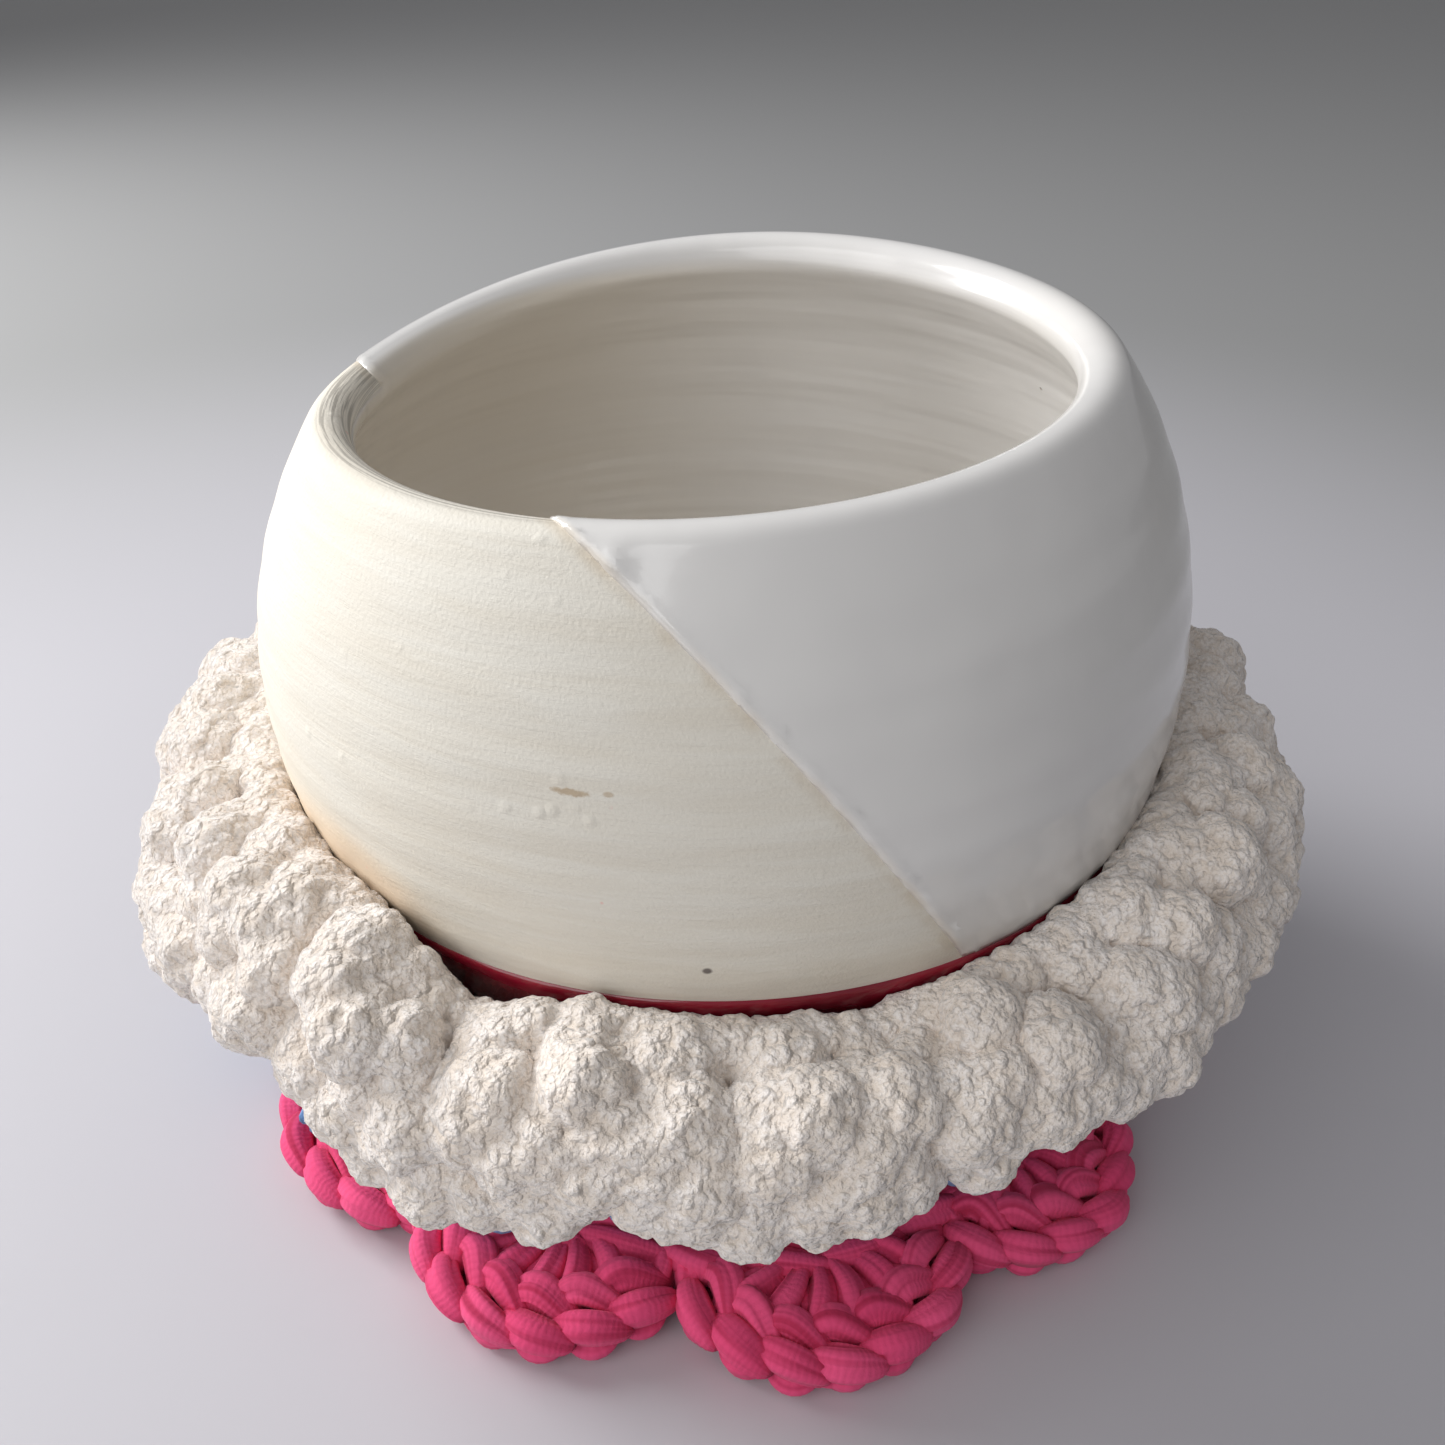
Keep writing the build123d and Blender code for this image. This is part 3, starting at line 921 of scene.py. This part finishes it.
def relaxed(mesh, points, rounds, share):
    """Points pulled towards their neighbours' average, a number of times."""
    pairs = np.zeros(len(mesh.edges) * 2, np.int32)
    mesh.edges.foreach_get("vertices", pairs)
    a, b = pairs.reshape(-1, 2).T
    count = np.bincount(a, minlength=len(points)) + np.bincount(b, minlength=len(points))
    count = np.maximum(count, 1)[:, None]
    for _ in range(rounds):
        total = np.stack(
            [
                np.bincount(a, points[b, k], len(points)) + np.bincount(b, points[a, k], len(points))
                for k in range(3)
            ],
            1,
        )
        points = points * (1 - share) + total / count * share
    return points


PUFF_R = 5.0                       # radius of the chenille yarn's stitches in the wall and floor
LUMP_R = 6.3                       # radius of the puffier stitches of the fold and the cuff
# Each shell of the cuff: its plan angle in degrees, its reach and the height of its lowest edge
SHELLS = (
    (-157, 100.0, 50.0),
    (-113, 97.0, 44.0),
    (-85, 96.0, 47.5),
    (-51, 96.5, 53.0),
    (-15, 99.0, 50.0),
    (22, 99.0, 49.0),
    (58, 98.0, 48.0),
    (95, 98.5, 48.5),
    (132, 98.0, 48.0),
    (170, 100.0, 49.5),
)


def polar(radius, angle, height):
    return np.array([radius * math.cos(angle), radius * math.sin(angle), height])


def rim_height(angle):
    """The top of the nest's rim: lowest at the front, with one deeper dip at the front left."""
    away = (math.degrees(angle) + 86 + 180) % 360 - 180
    front = math.exp(-((away / (30 if away < 0 else 36)) ** 2))
    uneven = 0.7 * math.sin(3 * angle + 1) + 0.5 * math.sin(7 * angle)
    return FOLD_HIGH[2] + 5.0 - 9.6 * front - 5.6 * bump_at(angle, -116, 7) + uneven


def stand_off(angle):
    """How far the rim stands away from the bowl."""
    return 0.7 + 0.6 * bump_at(angle, -90, 30) + 3.8 * bump_at(angle, -117, 9)


def beside_bowl(height, gap):
    """Distance from the axis of a point at a height that is a gap away from the bowl's belly."""
    return math.sqrt((BELLY_R + SKIN + gap) ** 2 - (height - BELLY_Z) ** 2)


def outer_radius(angle):
    """How far the fold swells: least at the front right, most at the left."""
    swell = 5.0 * bump_at(angle, 175, 45) + 3.0 * bump_at(angle, 5, 55) + 2.0 * bump_at(angle, 90, 50)
    return 96.0 + swell - 3.5 * bump_at(angle, -68, 13)


def nest_fold(material):
    """The fold at the rim: chenille posts that come up the wall and turn over outwards, as rows of lumps."""
    work = Chenille(31)
    rnd = work.random
    count = 42
    for k in range(count):
        a = TAU * (k + rnd.normal(0, 0.10)) / count - math.pi
        crest = rim_height(a) - LUMP_R
        out = outer_radius(a) - LUMP_R
        work.puff(polar(85.5, a, 64), 7.5)
        work.puff(polar(89, a, 63), 6.5)
        work.puff(polar(beside_bowl(crest - 7, LUMP_R + stand_off(a)), a, crest - 7), LUMP_R)
        rows = (
            (beside_bowl(crest, LUMP_R + stand_off(a)) + 0.8, crest, 0.0),
            (86.5, crest + 0.2, 0.25),
            (out - 2.5, crest - 4.2, 0.5),
            (out, max(crest - 11.5, 60.5), 0.4),
        )
        for radius, height, turned in rows:
            b = a + (turned + rnd.normal(0, 0.16)) * TAU / count
            r = LUMP_R * (0.98 + rnd.normal(0, 0.09))
            at = polar(radius + rnd.normal(0, 0.5), b, height + rnd.normal(0, 0.6))
            work.puff(at, r * np.array([1 + rnd.normal(0, 0.06), 1 + rnd.normal(0, 0.06), 0.97]))
    for k in range(3 * count):
        a = TAU * k / (3 * count) - math.pi
        r = 4.3 + rnd.normal(0, 0.35)
        height = rim_height(a) - r - 1.0 + rnd.normal(0, 0.5)
        work.puff(polar(beside_bowl(height, r + stand_off(a) - 0.4), a, height), r)
    return work.object("nest_rim_fold", material, 0.7)


def nest_cuff(material):
    """The scalloped cuff: fans of chenille stitches that end in puffs along each shell's edge."""
    work = Chenille(57)
    rnd = work.random
    for lobe, reach, drop in SHELLS:
        a = math.radians(lobe)
        top = rim_height(a) - 16
        for j in range(6):
            share = (j - 2.5) / 2.5
            b = a + share * math.radians(14.0)
            r = LUMP_R * (0.95 + rnd.normal(0, 0.07))
            edge_r = reach - r - 4.5 * share * share
            edge_z = drop + r + 7.5 * share * share + rnd.normal(0, 0.5)
            start = a + share * math.radians(10.5)
            upper = polar(outer_radius(a) - r - 0.5, start, top)
            lower = polar(edge_r, b, edge_z)
            for between in (0.0, 0.5, 1.0):
                at = upper + (lower - upper) * between + rnd.normal(0, 0.7, 3)
                work.puff(at, r * (1.0 + rnd.normal(0, 0.07)))
            work.puff(polar(edge_r - 6.5, b, edge_z + 1.5), r)
            work.puff(polar(edge_r - 4.5, b, edge_z + 6.0), r)
        for side in (-1, 1):
            b = a + side * math.radians(17.5)
            work.run([polar(88.5, b, top - 1), polar(86.5, b, 58)], LUMP_R * 0.95)
    return work.object("nest_scallops", material, 0.7)


def nest_wall(material):
    """The nest's wall: rounds of puffy stitches that follow the bowl's belly."""
    work = Chenille(73)
    levels = 5
    for level in range(levels):
        z = WALL_LOW[2] + PUFF_R + 0.5 + level * (FOLD_LOW[2] - WALL_LOW[2] - PUFF_R) / levels
        inner = max(beside_bowl(z, PUFF_R + 1.2), 46.0)
        outer = min(inner + 9.0, 82.0)
        count = int(TAU * inner / (PUFF_R * 1.9))
        for k in range(count):
            a = TAU * (k + 0.5 * (level % 2) + work.random.normal(0, 0.1)) / count
            r = PUFF_R * (1 + work.random.normal(0, 0.05))
            work.run([polar(inner, a, z), polar(outer, a, z + 0.5)], r, r, jitter=0.3)
    return work.object("nest_side", material, 1.3)


def nest_floor(material):
    """The nest's floor: flat rounds of stitches from the middle out."""
    work = Chenille(91)
    low = FLOOR_LOW[2] + PUFF_R
    high = FLOOR_HIGH[2] - PUFF_R - 0.3
    radius = 0.0
    while radius < FLOOR_HIGH[0] + 2:
        count = max(1, int(TAU * radius / (PUFF_R * 1.8)))
        for k in range(count):
            a = TAU * (k + work.random.normal(0, 0.1)) / count
            for z in (low, high):
                work.puff(polar(radius, a, z), PUFF_R * (1 + work.random.normal(0, 0.04)))
        radius += PUFF_R * 1.5
    return work.object("nest_base", material, 1.3)


# ---------------------------------------------------------------- the set
def place(obj, body, slot, *nodes):
    """Makes a piece move with its body and hides the CAD nodes that it stands for; slot, its finish, is not used."""
    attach(obj, body)
    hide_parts(*nodes)


def make_bowl():
    points, faces = stoneware_body()
    body = mesh_object("stoneware_body", points, faces, clay_material())
    place(body, "bowl", "bare_stoneware", "bowl_stoneware_body")
    place(white_glaze_skin(white_glaze_material()), "bowl", "white_glaze", "bowl_white_glaze")
    place(red_glaze_band(red_glaze_material()), "bowl", "red_glaze", "bowl_red_glaze")


def make_nest():
    chenille = chenille_material()
    for make, node in (
        (nest_fold, "nest_fold"),
        (nest_cuff, "nest_scalloped_cuff"),
        (nest_wall, "nest_wall"),
        (nest_floor, "nest_floor"),
    ):
        place(make(chenille), "nest", "cream_chenille_yarn", node)


def make_mats():
    pink = yarn_material(
        "pink_jersey_yarn",
        light=(0.86, 0.100, 0.250),
        dark=(0.72, 0.060, 0.175),
        # crease: the colour of the painted shade in the folds, between rows and at tucked ends
        crease=(0.42, 0.018, 0.065),
        glow=(1.0, 0.35, 0.5),
        row=0.95,
        rib_height=0.4,
    )
    mat(
        "pink_mat",
        "pink_jersey_yarn",
        pink,
        width=6.4,
        posts=(8, 15, 24, 30),
        shells=9,
        edge=71.0,
        start=-78.5,
        fan=dict(posts=6, edge_stitches=7, spread=1.22, odd_at=-158.5, growth=0.12, shift=5.5),
        seed=100,
        detail=dict(along=14, around=20, pleats=4, groove=0.24),
    )
    blue = yarn_material(
        "blue_cotton_yarn",
        light=(0.30, 0.47, 0.74),
        dark=(0.20, 0.35, 0.62),
        # crease: the colour of the painted shade in the folds, between rows and at tucked ends
        crease=(0.08, 0.16, 0.36),
        glow=(0.6, 0.75, 1.0),
        row=0.7,
        rib_height=0.25,
    )
    mat(
        "blue_mat",
        "blue_cotton_yarn",
        blue,
        width=4.0,
        posts=(22, 38, 54),
        shells=16,
        edge=57.0,
        start=-91.0,
        fan=dict(posts=5, edge_stitches=5, spread=1.2, odd_at=-132.0, growth=-0.72, shift=0.0),
        seed=200,
        detail=dict(along=8, around=10),
    )


# ---------------------------------------------------------------- stage, light, camera
def make_stage():
    """A pale floor painted greyer away from the middle as painted shade, a large soft light from the back left, a
    weak fill and an even surround.
    """
    s = Shader("pale_table")
    tint = s.noise(6, 3)
    near = s.mix(tint, (0.54, 0.53, 0.565), (0.57, 0.56, 0.595))
    # Painted shade: the floor is painted from pale to grey between 0.20 and 0.55 m from the middle, as if the light
    # fell off.
    away = s.vector("LENGTH", s.place)
    s.set(Base_Color=s.mix(s.window(away, 0.20, 0.55), near, (0.36, 0.36, 0.36)), Roughness=0.6)
    half = 6000
    corners = [(-half, -half, 0), (half, -half, 0), (half, half, 0), (-half, half, 0)]
    floor = mesh_object("table_top", corners, [(0, 1, 2, 3)], s.material)

    def area(name, at, size, power, aim=(0, 0, 0.08)):
        light = bpy.data.lights.new(name, "AREA")
        light.shape = "SQUARE"
        light.size = size
        light.energy = power
        obj = bpy.data.objects.new(name, light)
        obj.location = at
        obj.rotation_euler = (Vector(aim) - Vector(at)).to_track_quat("-Z", "Y").to_euler()
        bpy.context.scene.collection.objects.link(obj)

    area("window", (-1.0, 0.40, 0.70), 0.7, 17)
    area("room", (-0.8, -0.9, 0.8), 1.2, 9)
    world = bpy.data.worlds.new("studio")
    bpy.context.scene.world = world
    world.use_nodes = True
    background = world.node_tree.nodes["Background"]
    background.inputs["Color"].default_value = (0.97, 0.97, 1.0, 1)
    background.inputs["Strength"].default_value = 0.28


def make_camera():
    """The view the object is known from: close, from above its front."""
    camera = bpy.data.cameras.new("camera")
    camera.sensor_width = 36
    camera.lens = 34.88
    camera.clip_start = 0.01
    obj = bpy.data.objects.new("camera", camera)
    obj.location = (0, -0.2107, 0.2055)
    obj.rotation_euler = (math.radians(57.63), 0, 0)
    bpy.context.scene.collection.objects.link(obj)
    bpy.context.scene.camera = obj


make_camera()
make_stage()
make_bowl()
make_nest()
make_mats()

scene = bpy.context.scene
scene.view_settings.view_transform = "Standard"
